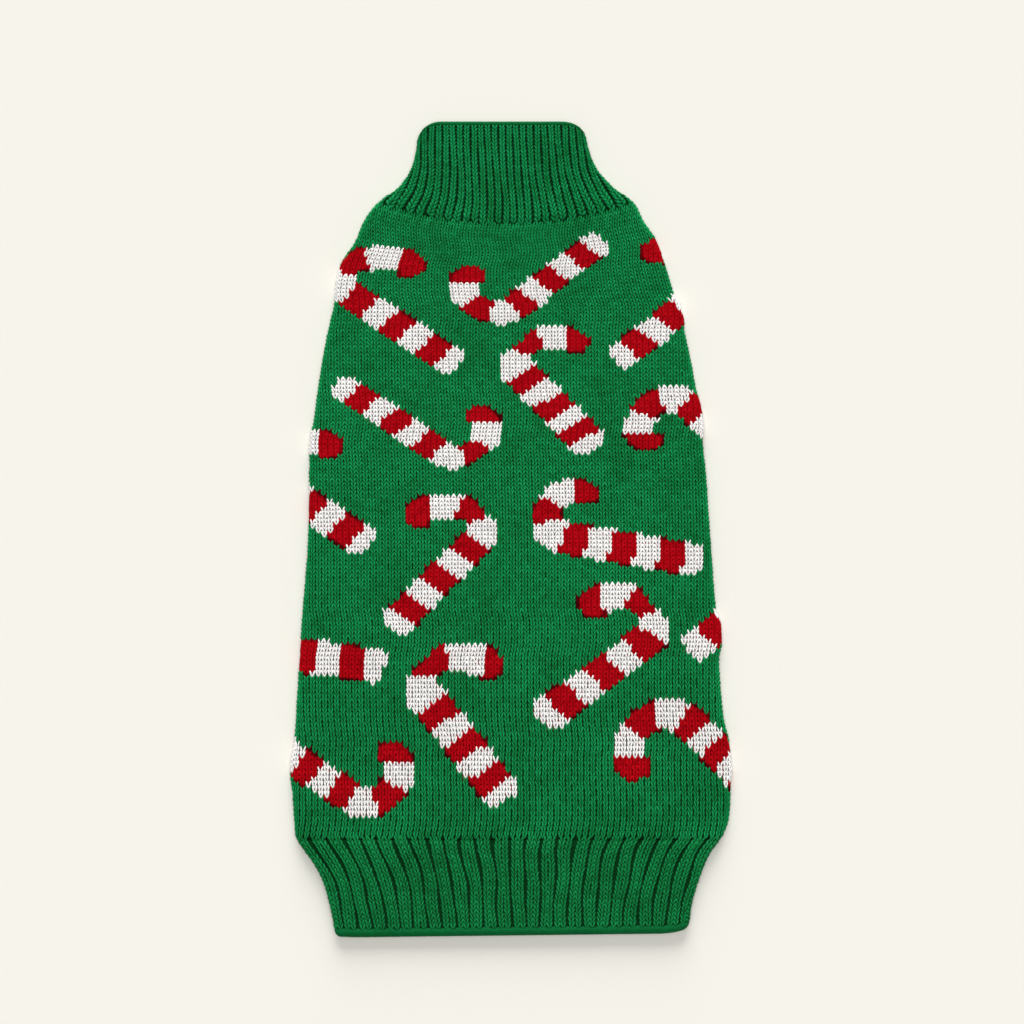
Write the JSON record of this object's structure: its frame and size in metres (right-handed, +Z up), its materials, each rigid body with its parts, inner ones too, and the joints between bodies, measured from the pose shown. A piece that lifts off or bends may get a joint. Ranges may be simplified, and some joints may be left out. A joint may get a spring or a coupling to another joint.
{
  "type": "dog sweater",
  "caption": "Knitted pet sweater laid flat: patterned back, plain belly, ribbed turtleneck, ribbed hem and two ribbed leg cuffs, a hollow tube of cloth.",
  "frame": {"origin": "middle of the underside of the garment laid flat, on the surface it rests on", "axes": "+Y towards the neck, +Z up from the surface, so the patterned back faces +Z"},
  "size_m": [0.2522, 0.465, 0.0074],
  "materials": {
    "body_knit": "green acrylic stockinette, with red and white intarsia on the back",
    "collar_rib": "green acrylic one-by-one rib",
    "hem_rib": "green acrylic two-by-one rib",
    "cuff_rib": "green acrylic one-by-one rib"
  },
  "bodies": {
    "root": {"back_panel": "body_knit", "belly_panel": "body_knit", "collar": "collar_rib", "hem_rib": "hem_rib", "leg_cuff_left": "cuff_rib", "leg_cuff_right": "cuff_rib"}
  },
  "joints": []
}
